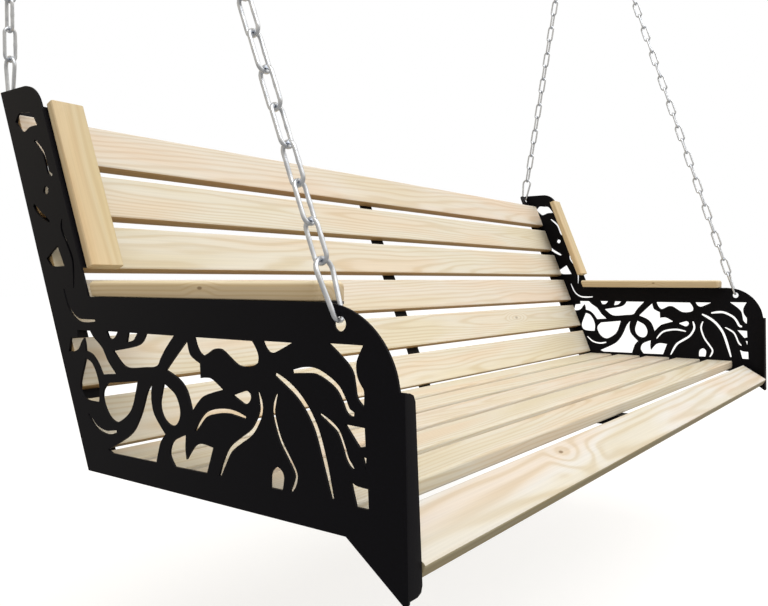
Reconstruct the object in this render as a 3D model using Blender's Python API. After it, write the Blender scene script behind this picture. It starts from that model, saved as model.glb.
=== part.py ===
"""Garden swing bench: two bent steel side panels with leaf-scroll cut-outs, pine boards and four chains.

Each side's front and rear chain meet in one ring. The bench swings about the line through both rings.
Metres, +Z up, +Y to the back, +X to the right as seen from the front. The origin is on the swing axis,
half way between the rings.
"""
import math

import bmesh
import bpy
from mathutils import Matrix, Vector

# Driving dimensions of the bench
BENCH_WIDTH = 1.750
SEAT_DEPTH = 0.444
ARM_HEIGHT = 0.232
BACK_HEIGHT = 0.532
RECLINE = math.radians(22.2)

# Side panels: laser-cut sheet with its edges bent inward
SHEET = 0.003
UPRIGHT_WIDTH = 0.091
UPRIGHT_TOP_RADIUS = 0.050
CROTCH_RADIUS = 0.004
NOSE_RADIUS = 0.096
NOSE_START = 0.030
FRONT_TOP = 0.149
FRONT_STEP = 0.0063
FRONT_RAKE = math.radians(1.2)
TOE_DROP = 0.0565
TOE_RADIUS = 0.004
FLANGE_WIDTH = 0.045
FRONT_FLANGE_TOP = 0.017
FRONT_FLANGE_TOE = 0.0245
FLANGE_SETBACK = 0.004
FRONT_FLANGE_SETBACK = 0.001
FLANGE_CORNER = 0.009
APRON_LUG_FIRST = 0.008
APRON_LUG_LENGTH = 0.064

# Chain holes in the panels
HOLE_RADIUS = 0.0075
FRONT_HOLE_BACK = 0.007
FRONT_HOLE_BELOW_ARM = 0.021
REAR_HOLE_BELOW_TOP = 0.0165
REAR_HOLE_INWARD = 0.0135

# Pine boards
BOARD_WIDTH = 0.070
ARM_BOARD_WIDTH = 0.050
BOARD_THICKNESS = 0.021
BOARD_ROUND = 0.003
BOARD_END_GAP = 0.002
BACK_SLATS = 6
BACK_FIRST = 0.0225
BACK_TOP_FREE = 0.0481
SEAT_SLATS = 5
SEAT_FIRST = 0.013
SEAT_REAR_FREE = 0.0122
APRON_FIRST = 0.0075
APRON_TILT = math.radians(31)
ARMREST_INSET = 0.004
ARMREST_FRONT = 0.043
ARMREST_CORNER = 0.016
UPRIGHT_BOARD_INSET = 0.007
UPRIGHT_BOARD_FIRST = 0.040
UPRIGHT_BOARD_TOP_FREE = 0.034
UPRIGHT_BOARD_THICKNESS = 0.015

# Middle strap: an angle bar that carries the boards, a little left of the bench's middle
STRAP_OFF_MIDDLE = 0.050
STRAP_WIDTH = 0.040
STRAP_DEPTH = 0.025
STRAP_THICKNESS = 0.004
STRAP_BEND = 0.006
STRAP_TIGHTEST_BEND = 0.001
STRAP_BELOW_TOP = 0.050
STRAP_APRON_LENGTH = 0.055

# Chains: long welded links, a pear-shaped connector below and one ring for each side above
LINK_PITCH = 0.042
LINK_WIRE = 0.005
LINK_WIDTH = 0.021
LINK_BITE = 0.0002
FRONT_LINKS = 35
REAR_LINKS = 26
CONNECTOR_LENGTH = 0.060
CONNECTOR_WIRE = 0.0055
CONNECTOR_TOP_RADIUS = 0.0125
CONNECTOR_TOE_RADIUS = 0.0065
RING_WIRE = 0.006
RING_RADIUS = 0.036
RING_OUTSIDE = 0.070
RING_LINK_SPACING = 0.010

# Clearances
SEAT_GAP = 0.0003
WIRE_GAP = 0.0004
ARM_END_GAP = 0.002
APRON_END_GAP = 0.001

# Facets
ARC_STEP = math.radians(22.5)
FINE_ARC_STEP = math.radians(11.25)
CURVE_STEPS = 2
HOLE_SIDES = 16
BOARD_ROUND_STEPS = 2
LINK_SIDES = 4
LINK_END_TANGENTS = tuple(math.radians(turn) for turn in (0, 49, 90, 131, 180))
CONNECTOR_SIDES = 6
CONNECTOR_END_TANGENTS = tuple(math.radians(turn) for turn in (0, 45, 90, 135, 180))
RING_SIDES = 8
RING_STEPS = 20
SMOOTH_BELOW = math.radians(50)

# Leaf scroll of the arm, drawn in millimetres back from and above the seat's front corner, on a panel
# of the size below. Three numbers mark a sharp corner, two a point that the curve runs through.
ART_DEPTH = 444
ART_HEIGHT = 232
ARM_WINDOWS = (
    ((467, 187, 1), (437, 187, 1), (429, 179), (410, 166), (397, 149), (380, 134, 1), (411, 131, 1),
     (421, 145), (434, 156), (448, 160, 1), (449, 169), (452, 177, 1), (458, 170), (464, 162),
     (474, 158), (488, 157, 1), (483, 176, 1), (466, 178, 1)),
    ((448, 150, 1), (434, 145), (423, 131), (417, 113), (418, 94, 1), (440, 94), (456, 99), (461, 114),
     (454, 135)),
    ((400, 188, 1), (376, 188, 1), (383, 180), (394, 179)),
    ((354, 188, 1), (335, 188, 1), (343, 179), (357, 176, 1)),
    ((318, 188, 1), (264, 188, 1), (281, 170), (296, 150, 1), (345, 144), (366, 147), (386, 163, 1),
     (340, 171), (325, 178)),
    ((335, 128, 1), (341, 108), (351, 88), (378, 72), (398, 80), (409, 98), (408, 111), (397, 121, 1)),
    ((305, 130, 1), (308, 114), (303, 91), (281, 68, 1), (291, 56), (299, 31, 1), (388, 30, 1),
     (399, 34, 1), (368, 49), (345, 64), (328, 89), (317, 115)),
    ((284, 130, 1), (262, 118), (253, 99), (258, 84), (270, 80), (284, 87), (291, 104)),
    ((240, 184, 1), (234, 167), (217, 158, 1), (216, 141, 1), (198, 142), (178, 131, 1), (212, 120),
     (232, 100, 1), (241, 123), (256, 137), (279, 146, 1), (263, 162)),
    ((227, 188, 1), (131, 188, 1), (123, 177), (122, 165), (136, 160), (155, 161), (180, 176),
     (195, 175), (211, 167), (222, 176)),
    ((115, 189, 1), (72, 189, 1), (99, 177), (110, 181)),
    ((162, 126, 1), (139, 133), (133, 126), (142, 118)),
    ((22, 191, 1), (-22, 191, 1), (-14, 175), (-15, 160), (-23, 147, 1), (-23, 131, 1), (-14, 140),
     (-9, 163), (2, 176)),
    ((1, 112, 1), (-24, 111, 1), (-25, 93, 1), (-17, 91, 1)),
    ((-21, 83, 1), (-26, 82, 1), (-25, 70, 1)),
    ((-6, 57, 1), (-14, 53), (-28, 52, 1), (-29, 32, 1), (-13, 32, 1)),
    ((243, 72, 1), (244, 56), (242, 43, 1), (228, 60), (213, 65), (195, 63, 1), (206, 32, 1), (264, 31, 1),
     (273, 44), (267, 61)),
    ((104, 32, 1), (103, 48), (93, 56), (84, 48), (86, 32, 1)),
)
# Slits of the arm: the width, then points along the middle line
ARM_SLITS = (
    (5, ((226, 78), (206, 100), (170, 107.5), (141, 103))),
    (6, ((122, 133), (118, 113), (133, 88), (166, 65), (184, 32))),
    (5, ((94, 134), (99, 114), (88, 83), (67, 52), (74, 32))),
    (7, ((97, 155), (65, 136), (38, 101), (17, 35))),
    (6, ((72, 159), (40, 162), (10, 147), (-3, 126), (-11, 123))),
    (4.5, ((34, 119), (10, 104), (-2, 78), (-10, 69))),
    (4.5, ((442, 76), (424, 61), (400, 56), (380, 60))),
    (4, ((498, 242), (485, 216), (462, 201), (425, 201))),
)
# Scroll of the upright, drawn in millimetres up the rear edge and forward of it
ART_RISE = 574.6
ART_ACROSS = 91
UPRIGHT_WINDOWS = (
    ((515, 20, 1), (521, 34), (514, 48), (505, 63), (482, 70, 1), (489, 51), (491, 33)),
    ((395, 54), (387, 61), (381, 53), (389, 47)),
    ((300, 18, 1), (306, 50, 1), (273, 55, 1), (285, 26)),
)
UPRIGHT_SLITS = (
    (5, ((466, 55), (438, 69), (409, 70), (400, 77))),
    (7, ((383, 17), (365, 27), (343, 45))),
    (4, ((334, 75), (319, 69), (274, 77), (237, 64))),
)

# Directions of the back and the apron, as (back, up), and the panel's corners
UP_BACK = Vector((math.sin(RECLINE), math.cos(RECLINE)))
OFF_BACK = Vector((-math.cos(RECLINE), math.sin(RECLINE)))
DOWN_APRON = Vector((-math.cos(APRON_TILT), -math.sin(APRON_TILT)))
OFF_APRON = Vector((-math.sin(APRON_TILT), math.cos(APRON_TILT)))
BACK_LENGTH = BACK_HEIGHT / math.cos(RECLINE)
BACK_PITCH = (BACK_LENGTH - BACK_FIRST - BACK_TOP_FREE - BOARD_WIDTH) / (BACK_SLATS - 1)
SEAT_PITCH = (SEAT_DEPTH - SEAT_FIRST - SEAT_REAR_FREE - BOARD_WIDTH) / (SEAT_SLATS - 1)
UPRIGHT_LEVEL_WIDTH = UPRIGHT_WIDTH / math.cos(RECLINE)
SEAT_FRONT = Vector((0, 0))
SEAT_REAR = Vector((SEAT_DEPTH, 0))
REAR_TOP = SEAT_REAR + UP_BACK * BACK_LENGTH
UPRIGHT_TOP = REAR_TOP - Vector((UPRIGHT_LEVEL_WIDTH, 0))
CROTCH = Vector((SEAT_DEPTH + ARM_HEIGHT * math.tan(RECLINE) - UPRIGHT_LEVEL_WIDTH, ARM_HEIGHT))
UPRIGHT_BOARD_LENGTH = (UPRIGHT_TOP - CROTCH).length - UPRIGHT_BOARD_FIRST - UPRIGHT_BOARD_TOP_FREE
NOSE_CENTRE = Vector((NOSE_START, ARM_HEIGHT - NOSE_RADIUS))
NOSE_SWEEP = math.pi / 2 - math.asin((FRONT_TOP - NOSE_CENTRE.y) / NOSE_RADIUS)
NOSE_END = NOSE_CENTRE + Vector((-math.sin(NOSE_SWEEP), math.cos(NOSE_SWEEP))) * NOSE_RADIUS
FRONT_EDGE_TOP = NOSE_END - Vector((FRONT_STEP, 0))
TOE = Vector((FRONT_EDGE_TOP.x - (FRONT_TOP + TOE_DROP) * math.tan(FRONT_RAKE), -TOE_DROP))
FRONT_HOLE = Vector((FRONT_HOLE_BACK, ARM_HEIGHT - FRONT_HOLE_BELOW_ARM))
REAR_HOLE = SEAT_REAR + UP_BACK * (BACK_LENGTH - REAR_HOLE_BELOW_TOP) + OFF_BACK * (SHEET / 2)
REAR_HOLE_EDGE = REAR_HOLE + UP_BACK * HOLE_RADIUS - OFF_BACK * (SHEET / 2)


def material(name, colour, metallic, roughness):
    made = bpy.data.materials.new(name)
    made.use_nodes = True
    shader = made.node_tree.nodes["Principled BSDF"]
    shader.inputs["Base Color"].default_value = (*colour, 1.0)
    shader.inputs["Metallic"].default_value = metallic
    shader.inputs["Roughness"].default_value = roughness
    return made


def add_object(name, bm, finish, parent=None):
    """Turn a closed mesh into a named object with its faces pointing out."""
    bmesh.ops.recalc_face_normals(bm, faces=bm.faces[:])
    mesh = bpy.data.meshes.new(name)
    bm.to_mesh(mesh)
    bm.free()
    mesh.materials.append(finish)
    mesh.shade_smooth()
    mesh.set_sharp_from_angle(angle=SMOOTH_BELOW)
    made = bpy.data.objects.new(name, mesh)
    made.parent = parent
    bpy.context.scene.collection.objects.link(made)
    return made


def in_space(point):
    """A point of the panel's (back, up) plane as a point of the bench."""
    return Vector((0, point.x, point.y))


def corner_arc(before, corner, after, radius, step=ARC_STEP):
    """Arc that rounds a corner of a path, as points in steps of about the given angle."""
    back = (before - corner).normalized()
    ahead = (after - corner).normalized()
    half = back.angle(ahead) / 2
    middle = corner + (back + ahead).normalized() * (radius / math.sin(half))
    start = corner + back * (radius / math.tan(half)) - middle
    end = corner + ahead * (radius / math.tan(half)) - middle
    sweep = start.angle_signed(end)
    steps = max(1, round(abs(sweep) / step))
    return [middle + Matrix.Rotation(-sweep * k / steps, 2) @ start for k in range(steps + 1)]


def lines_meet(point, along, other, other_along):
    """Crossing of two lines of a plane, each given by a point and a direction."""
    gap = other - point
    reach = gap.cross(other_along) / along.cross(other_along)
    return point + along * reach


def curve_through(points, steps):
    """Points along a Catmull-Rom curve through an open run of points, both ends included."""
    run = [points[0] * 2 - points[1], *points, points[-1] * 2 - points[-2]]
    path = [points[0]]
    for a, b, c, d in zip(run, run[1:], run[2:], run[3:]):
        for k in range(1, steps + 1):
            t = k / steps
            bend = (a * 2 - b * 5 + c * 4 - d) * t * t + (b * 3 - a - c * 3 + d) * t ** 3
            path.append((b * 2 + (c - a) * t + bend) / 2)
    return path


def window_loop(points, place):
    """Closed outline of a window: a curve between each two sharp corners."""
    first = next((i for i, point in enumerate(points) if len(point) == 3), 0)
    turned = points[first:] + points[:first + 1]
    loop = []
    run = [place(*turned[0][:2])]
    for i, point in enumerate(turned[1:], 1):
        run.append(place(*point[:2]))
        if len(point) == 3 or i == len(turned) - 1:
            loop += curve_through(run, CURVE_STEPS if len(run) > 2 else 1)[:-1]
            run = run[-1:]
    return loop


def slit_loop(width, points, place):
    """Closed outline of a slit: a band along the middle line that narrows to both ends."""
    middle = curve_through([place(*point) for point in points], CURVE_STEPS)
    last = len(middle) - 1
    left = []
    right = []
    for i, point in enumerate(middle):
        along = (middle[min(i + 1, last)] - middle[max(i - 1, 0)]).normalized()
        half = width / 2000 * (0.6 if i in (0, last) else 1)
        left.append(point + Vector((-along.y, along.x)) * half)
        right.append(point - Vector((-along.y, along.x)) * half)
    return left + right[::-1]


def place_on_arm(back, up):
    return Vector((back / ART_DEPTH * SEAT_DEPTH, up / ART_HEIGHT * ARM_HEIGHT))


def place_on_upright(rise, across):
    return (SEAT_REAR + UP_BACK * (rise / ART_RISE * BACK_LENGTH)
            + OFF_BACK * (across / ART_ACROSS * UPRIGHT_WIDTH))


def cut_out_loops():
    """Every opening of a side panel: leaf scroll and front chain hole."""
    loops = [window_loop(points, place_on_arm) for points in ARM_WINDOWS]
    loops += [slit_loop(width, points, place_on_arm) for width, points in ARM_SLITS]
    loops += [window_loop(points, place_on_upright) for points in UPRIGHT_WINDOWS]
    loops += [slit_loop(width, points, place_on_upright) for width, points in UPRIGHT_SLITS]
    outer = HOLE_RADIUS / math.cos(math.pi / HOLE_SIDES)
    turns = [2 * math.pi * k / HOLE_SIDES for k in range(HOLE_SIDES)]
    loops.append([FRONT_HOLE + Vector((math.cos(turn), math.sin(turn))) * outer for turn in turns])
    return loops


def panel_corners():
    """Path round each corner of the side panel, with the widths and setbacks of the flange that follows."""
    nose_steps = round(NOSE_SWEEP / FINE_ARC_STEP)
    nose = [NOSE_CENTRE + Matrix.Rotation(NOSE_SWEEP * k / nose_steps, 2) @ Vector((0, NOSE_RADIUS))
            for k in range(nose_steps + 1)]
    widths = (FLANGE_WIDTH, FLANGE_WIDTH)
    front_widths = (FRONT_FLANGE_TOP, FRONT_FLANGE_TOE)
    setbacks = (FLANGE_SETBACK, FLANGE_SETBACK)
    return (
        ([SEAT_FRONT], widths, setbacks),
        ([SEAT_REAR], widths, setbacks),
        ([REAR_TOP], None, None),
        (corner_arc(REAR_TOP, UPRIGHT_TOP, CROTCH, UPRIGHT_TOP_RADIUS, FINE_ARC_STEP), widths,
         (FLANGE_SETBACK, UPRIGHT_BOARD_FIRST)),
        (corner_arc(UPRIGHT_TOP, CROTCH, nose[0], CROTCH_RADIUS), widths, setbacks),
        (nose + [FRONT_EDGE_TOP], front_widths, (FRONT_FLANGE_SETBACK, FRONT_FLANGE_SETBACK)),
        (corner_arc(FRONT_EDGE_TOP, TOE, SEAT_FRONT, TOE_RADIUS), None, None),
    )


def panel_rim():
    """Rim of the flat panel, stepped in by one sheet along each flange, and where those steps begin."""
    corners = panel_corners()
    rim = []
    flanges = []
    for (path, widths, setbacks), (next_path, _, _) in zip(corners, corners[1:] + corners[:1]):
        rim += path
        if widths:
            along = (next_path[0] - path[-1]).normalized()
            inward = Vector((-along.y, along.x)) * SHEET
            start = path[-1] + along * setbacks[0]
            end = next_path[0] - along * setbacks[1]
            flanges.append((len(rim), widths))
            rim += [start, start + inward, end + inward, end]
    return rim, flanges


def apron_lug_loop():
    """Foot of the welded lug under the apron, in the same order as a flange's step in the rim."""
    top = SEAT_FRONT + DOWN_APRON * APRON_LUG_FIRST
    low = top + DOWN_APRON * APRON_LUG_LENGTH
    return [low, low + OFF_APRON * SHEET, top + OFF_APRON * SHEET, top]


def extrude_face(bm, face, depths):
    """Pull one face inward across the bench, each of its corners to its own depth."""
    place = {tuple(vert.co.yz): depth for vert, depth in zip(face.verts, depths)}
    made = bmesh.ops.extrude_face_region(bm, geom=[face])["geom"]
    top = next(item for item in made if isinstance(item, bmesh.types.BMFace))
    for vert in top.verts:
        vert.co.x = place[tuple(vert.co.yz)]
    bmesh.ops.delete(bm, geom=[face], context="FACES_ONLY")
    return top


def side_panel_mesh():
    """Sheet with its cut-outs, lying at x = 0, and its flanges and apron lug towards +x."""
    bm = bmesh.new()
    rim, flanges = panel_rim()
    flanges.append((len(rim), (FLANGE_WIDTH, FLANGE_WIDTH)))
    edges = []
    for loop in [rim, apron_lug_loop(), *cut_out_loops()]:
        verts = [bm.verts.new(in_space(point)) for point in loop]
        edges += [bm.edges.new(pair) for pair in zip(verts, verts[1:] + verts[:1])]
    bm.verts.ensure_lookup_table()
    bmesh.ops.triangle_fill(bm, use_beauty=True, edges=edges)
    strips = [bm.faces.new([bm.verts[first + k] for k in (0, 3, 2, 1)]) for first, _ in flanges]
    outside = [edge for edge in bm.edges if edge.is_boundary]
    inner = {vert: bm.verts.new(vert.co + Vector((SHEET, 0, 0))) for vert in bm.verts[:]}
    roots = [bm.faces.new([inner[vert] for vert in strip.verts]) for strip in strips]
    for face in [face for face in bm.faces if face not in roots and face not in strips]:
        bm.faces.new([inner[vert] for vert in face.verts])
    for edge in outside:
        a, b = edge.verts
        bm.faces.new((a, b, inner[b], inner[a]))
    for root, (_, (width_start, width_end)) in zip(roots, flanges):
        top = extrude_face(bm, root, (width_start, width_end, width_end, width_start))
        ends = [edge for edge in top.edges if edge.calc_length() < SHEET * 2]
        bmesh.ops.bevel(bm, geom=ends, offset=FLANGE_CORNER, segments=2, profile=0.5, affect="EDGES")
    return bm


def make_side_panel(name, side, bench, finish):
    """One side panel, with its rear chain hole cut through the rear flange."""
    bm = side_panel_mesh()
    bmesh.ops.transform(bm, matrix=Matrix.Scale(-side, 4, (1, 0, 0)), verts=bm.verts[:])
    panel = add_object(name, bm, finish, bench)
    outer_face = Vector((side * BENCH_WIDTH / 2, 0, 0)) + BENCH_PLACE
    panel.location = outer_face
    drill = bmesh.new()
    outer = HOLE_RADIUS / math.cos(math.pi / HOLE_SIDES)
    bmesh.ops.create_cone(drill, cap_ends=True, segments=HOLE_SIDES, radius1=outer, radius2=outer,
                          depth=SHEET * 4)
    cutter = add_object(name + "_rear_hole", drill, finish, bench)
    cutter.location = outer_face + in_space(REAR_HOLE) - Vector((side * REAR_HOLE_INWARD, 0, 0))
    cutter.rotation_euler = (math.pi / 2 - RECLINE, 0, 0)
    cutter.display_type = "WIRE"
    cutter.hide_render = True
    cut = panel.modifiers.new("rear_hole", "BOOLEAN")
    cut.operation = "DIFFERENCE"
    cut.object = cutter
    return panel


def make_board(name, size, centre, along, across, bench, finish):
    """A planed board with rounded long edges; along and across are its length and width directions."""
    bm = bmesh.new()
    bmesh.ops.create_cube(bm, size=1)
    bmesh.ops.scale(bm, vec=size, verts=bm.verts[:])
    long_edges = [edge for edge in bm.edges if edge.verts[0].co.yz == edge.verts[1].co.yz]
    bmesh.ops.bevel(bm, geom=long_edges, offset=BOARD_ROUND, segments=BOARD_ROUND_STEPS, profile=0.5,
                    affect="EDGES")
    board = add_object(name, bm, finish, bench)
    turn = Matrix((along, across, along.cross(across))).transposed()
    board.matrix_basis = Matrix.LocRotScale(centre + BENCH_PLACE, turn.to_quaternion(), None)
    return board


def make_back_and_seat(bench, finish):
    """Six back slats before the rear flanges, five seat slats on the bottom flanges and the apron."""
    right = Vector((1, 0, 0))
    lift = SHEET + SEAT_GAP + BOARD_THICKNESS / 2
    size = Vector((BENCH_WIDTH - 2 * (SHEET + BOARD_END_GAP), BOARD_WIDTH, BOARD_THICKNESS))
    for i in range(BACK_SLATS):
        rise = BACK_FIRST + BOARD_WIDTH / 2 + i * BACK_PITCH
        centre = in_space(SEAT_REAR + UP_BACK * rise + OFF_BACK * lift)
        make_board(f"back_slat_{i + 1}", size, centre, right, in_space(UP_BACK), bench, finish)
    for i in range(SEAT_SLATS):
        centre = Vector((0, SEAT_FIRST + BOARD_WIDTH / 2 + i * SEAT_PITCH, lift))
        make_board(f"seat_slat_{i + 1}", size, centre, right, Vector((0, 1, 0)), bench, finish)
    centre = in_space(SEAT_FRONT + DOWN_APRON * (APRON_FIRST + BOARD_WIDTH / 2) + OFF_APRON * lift)
    size.x = BENCH_WIDTH - 2 * (FRONT_FLANGE_TOE + APRON_END_GAP)
    make_board("front_apron", size, centre, right, in_space(-DOWN_APRON), bench, finish)


def make_upright_board(name, side, bench, finish):
    """Board on the front flange of an upright."""
    rise = UPRIGHT_BOARD_FIRST + UPRIGHT_BOARD_LENGTH / 2
    centre = in_space(CROTCH + UP_BACK * rise + OFF_BACK * (SEAT_GAP + UPRIGHT_BOARD_THICKNESS / 2))
    centre.x = side * (BENCH_WIDTH / 2 - UPRIGHT_BOARD_INSET - ARM_BOARD_WIDTH / 2)
    size = Vector((UPRIGHT_BOARD_LENGTH, ARM_BOARD_WIDTH, UPRIGHT_BOARD_THICKNESS))
    make_board(name, size, centre, in_space(UP_BACK), Vector((1, 0, 0)), bench, finish)


def make_armrest(name, side, bench, finish):
    """Board on the arm's top flange, its front corners round and its rear end cut along the upright."""
    half = ARM_BOARD_WIDTH / 2
    back = CROTCH.x - ARM_END_GAP
    front_corners = [Vector((-half, ARMREST_FRONT)), Vector((half, ARMREST_FRONT))]
    rear_corners = [Vector((half, back)), Vector((-half, back))]
    outline = corner_arc(rear_corners[1], *front_corners, ARMREST_CORNER)
    outline += corner_arc(*front_corners, rear_corners[0], ARMREST_CORNER)
    outline += rear_corners
    bm = bmesh.new()
    base = bm.faces.new([bm.verts.new((point.x, point.y, 0)) for point in outline])
    made = bmesh.ops.extrude_face_region(bm, geom=[base], use_keep_orig=True)["geom"]
    top = [item for item in made if isinstance(item, bmesh.types.BMVert)]
    bmesh.ops.translate(bm, vec=(0, 0, BOARD_THICKNESS), verts=top)
    rear = [vert for vert in top if vert.co.y > back - ARM_END_GAP]
    bmesh.ops.translate(bm, vec=(0, BOARD_THICKNESS * math.tan(RECLINE), 0), verts=rear)
    level = [edge for edge in bm.edges if edge.verts[0].co.z == edge.verts[1].co.z]
    bmesh.ops.bevel(bm, geom=level, offset=BOARD_ROUND, segments=BOARD_ROUND_STEPS, profile=0.5,
                    affect="EDGES")
    armrest = add_object(name, bm, finish, bench)
    middle = side * (BENCH_WIDTH / 2 - ARMREST_INSET - half)
    armrest.location = Vector((middle, 0, ARM_HEIGHT + SEAT_GAP)) + BENCH_PLACE


def make_middle_strap(name, bench, finish):
    """Angle bar bent to the panels' own profile: behind the back, under the seat and under the apron."""
    level = Vector((1, 0))
    lines = []
    for drop in (0, STRAP_THICKNESS, STRAP_DEPTH):
        raise_by = SHEET - drop
        top = SEAT_REAR + UP_BACK * (BACK_LENGTH - STRAP_BELOW_TOP) + OFF_BACK * raise_by
        rear = lines_meet(top, UP_BACK, Vector((0, raise_by)), level)
        apron = SEAT_FRONT + OFF_APRON * raise_by
        front = lines_meet(apron, DOWN_APRON, Vector((0, raise_by)), level)
        toe = apron + DOWN_APRON * STRAP_APRON_LENGTH
        front_radius = max(STRAP_BEND + STRAP_THICKNESS - drop, STRAP_TIGHTEST_BEND)
        rear_bend = corner_arc(top, rear, front, STRAP_BEND + drop)
        front_bend = corner_arc(rear, front, toe, front_radius)
        lines.append([top, *rear_bend, *front_bend, toe])
    web = STRAP_WIDTH - STRAP_THICKNESS
    section = ((0, 0), (0, STRAP_WIDTH), (2, STRAP_WIDTH), (2, web), (1, web), (1, 0))
    bm = bmesh.new()
    rings = [[bm.verts.new((across, *lines[line][i])) for line, across in section]
             for i in range(len(lines[0]))]
    for ring, following in zip(rings, rings[1:]):
        for a, b, c, d in zip(ring, ring[1:] + ring[:1], following[1:] + following[:1], following):
            bm.faces.new((a, b, c, d))
    bm.faces.new(rings[0])
    bm.faces.new(rings[-1])
    strap = add_object(name, bm, finish, bench)
    strap.location = Vector((-STRAP_OFF_MIDDLE - STRAP_WIDTH / 2, 0, 0)) + BENCH_PLACE


def wire_section(wire, sides):
    """Polygon with the area of a round wire, one flat facing in: the corners and the flat's distance."""
    corner = wire / 2 * math.sqrt(2 * math.pi / (sides * math.sin(2 * math.pi / sides)))
    turns = [2 * math.pi * (k + 0.5) / sides for k in range(sides)]
    return [(math.cos(a) * corner, math.sin(a) * corner) for a in turns], corner * math.cos(math.pi / sides)


def add_wire_loop(bm, path, normal, section):
    """Sweep a wire section round a closed flat path."""
    rings = []
    count = len(path)
    for i, point in enumerate(path):
        before = (point - path[i - 1]).normalized().cross(normal)
        after = (path[(i + 1) % count] - point).normalized().cross(normal)
        outward = (before + after) / (1 + before.dot(after))
        rings.append([bm.verts.new(point + outward * out + normal * aside) for out, aside in section])
    for ring, following in zip(rings, rings[1:] + rings[:1]):
        for a, b, c, d in zip(ring, ring[1:] + ring[:1], following[1:] + following[:1], following):
            bm.faces.new((a, b, c, d))


def link_path(centre_line_top, centre_line_toe, top_radius, toe_radius, tangents):
    """Closed path of a link in (wide, down), its round ends drawn by tangents to their arcs."""
    path = []
    for radius, middle, sign in ((top_radius, centre_line_top + top_radius, -1),
                                 (toe_radius, centre_line_toe - toe_radius, 1)):
        for turn, following in zip(tangents, tangents[1:]):
            angle = (turn + following) / 2
            outer = radius / math.cos((following - turn) / 2)
            path.append((sign * math.cos(angle) * outer, middle + sign * math.sin(angle) * outer))
    return path


LINK_SECTION, LINK_FLAT = wire_section(LINK_WIRE, LINK_SIDES)
CONNECTOR_SECTION, CONNECTOR_FLAT = wire_section(CONNECTOR_WIRE, CONNECTOR_SIDES)
RING_SECTION, RING_FLAT = wire_section(RING_WIRE, RING_SIDES)
LINK_INSIDE = LINK_PITCH - LINK_BITE
LINK_LOW = RING_LINK_SPACING / 2 + LINK_FLAT
RING_LIFT = RING_RADIUS - math.sqrt(RING_RADIUS ** 2 - LINK_LOW ** 2)


def chain_reach(links):
    """Distance down a hanging chain from the ring's wire centre to the inside of its connector's toe."""
    return -RING_FLAT - WIRE_GAP + LINK_INSIDE + (links - 1) * LINK_PITCH - WIRE_GAP + CONNECTOR_LENGTH


def swing_point():
    """Where the rings' lowest wire lies, in the panel's (back, up) plane, from the chains' lengths."""
    front_out = RING_OUTSIDE + RING_LINK_SPACING / 2 + SHEET / 2
    rear_out = RING_OUTSIDE - RING_LINK_SPACING / 2 + REAR_HOLE_INWARD
    front_length = chain_reach(FRONT_LINKS) + HOLE_RADIUS - WIRE_GAP
    rear_length = chain_reach(REAR_LINKS) - WIRE_GAP
    front = math.sqrt(front_length ** 2 - front_out ** 2)
    rear = math.sqrt(rear_length ** 2 - rear_out ** 2)
    apart = REAR_HOLE_EDGE - FRONT_HOLE
    along = (apart.length ** 2 + front ** 2 - rear ** 2) / (2 * apart.length)
    unit = apart.normalized()
    up = Vector((-unit.y, unit.x)) * math.sqrt(front ** 2 - along ** 2)
    return FRONT_HOLE + unit * along + up - Vector((0, RING_LIFT))


BENCH_PLACE = -in_space(swing_point())


def make_chain(name, side, links, hole, ring_offset, bench, finish):
    """Alternate links from the ring down, fused where they bear on each other, and the connector below."""
    start = Vector((side * (BENCH_WIDTH / 2 + RING_OUTSIDE + ring_offset), 0, RING_LIFT))
    down = (hole - start).normalized()
    flat = (Vector((1, 0, 0)) - down * down.x).normalized()
    edge = down.cross(flat)
    half = (LINK_WIDTH - LINK_WIRE) / 2
    shape = link_path(-LINK_FLAT, LINK_INSIDE + LINK_FLAT, half, half, LINK_END_TANGENTS)
    first = -RING_FLAT - WIRE_GAP
    meshes = [bmesh.new(), bmesh.new()]
    for i in range(links):
        wide, normal = ((edge, flat), (flat, edge))[i % 2]
        top = start + down * (first + i * LINK_PITCH)
        add_wire_loop(meshes[i % 2], [top + wide * w + down * d for w, d in shape], normal, LINK_SECTION)
    chain = add_object(name + "_chain", meshes[0], finish, bench)
    turned = add_object(name + "_turned_links", meshes[1], finish, bench)
    turned.display_type = "WIRE"
    turned.hide_render = True
    weld = chain.modifiers.new("turned_links", "BOOLEAN")
    weld.operation = "UNION"
    weld.object = turned
    wide, normal = ((edge, flat), (flat, edge))[links % 2]
    top = start + down * (first + (links - 1) * LINK_PITCH + LINK_INSIDE - WIRE_GAP)
    shape = link_path(-CONNECTOR_FLAT, CONNECTOR_LENGTH + CONNECTOR_FLAT, CONNECTOR_TOP_RADIUS,
                      CONNECTOR_TOE_RADIUS, CONNECTOR_END_TANGENTS)
    bm = bmesh.new()
    add_wire_loop(bm, [top + wide * w + down * d for w, d in shape], normal, CONNECTOR_SECTION)
    add_object(name + "_connector", bm, finish, bench)


def make_ring(name, side, finish):
    """Ring in which both chains of a side hang; its lowest wire lies on the swing axis."""
    bm = bmesh.new()
    step = 2 * math.pi / RING_STEPS
    outer = RING_RADIUS / math.cos(step / 2)
    path = [Vector((math.sin(step * (k + 0.5)) * outer, 0, -math.cos(step * (k + 0.5)) * outer))
            for k in range(RING_STEPS)]
    add_wire_loop(bm, path, Vector((0, -1, 0)), RING_SECTION)
    ring = add_object(name, bm, finish)
    ring.location = (side * (BENCH_WIDTH / 2 + RING_OUTSIDE), 0, RING_RADIUS)


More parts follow.
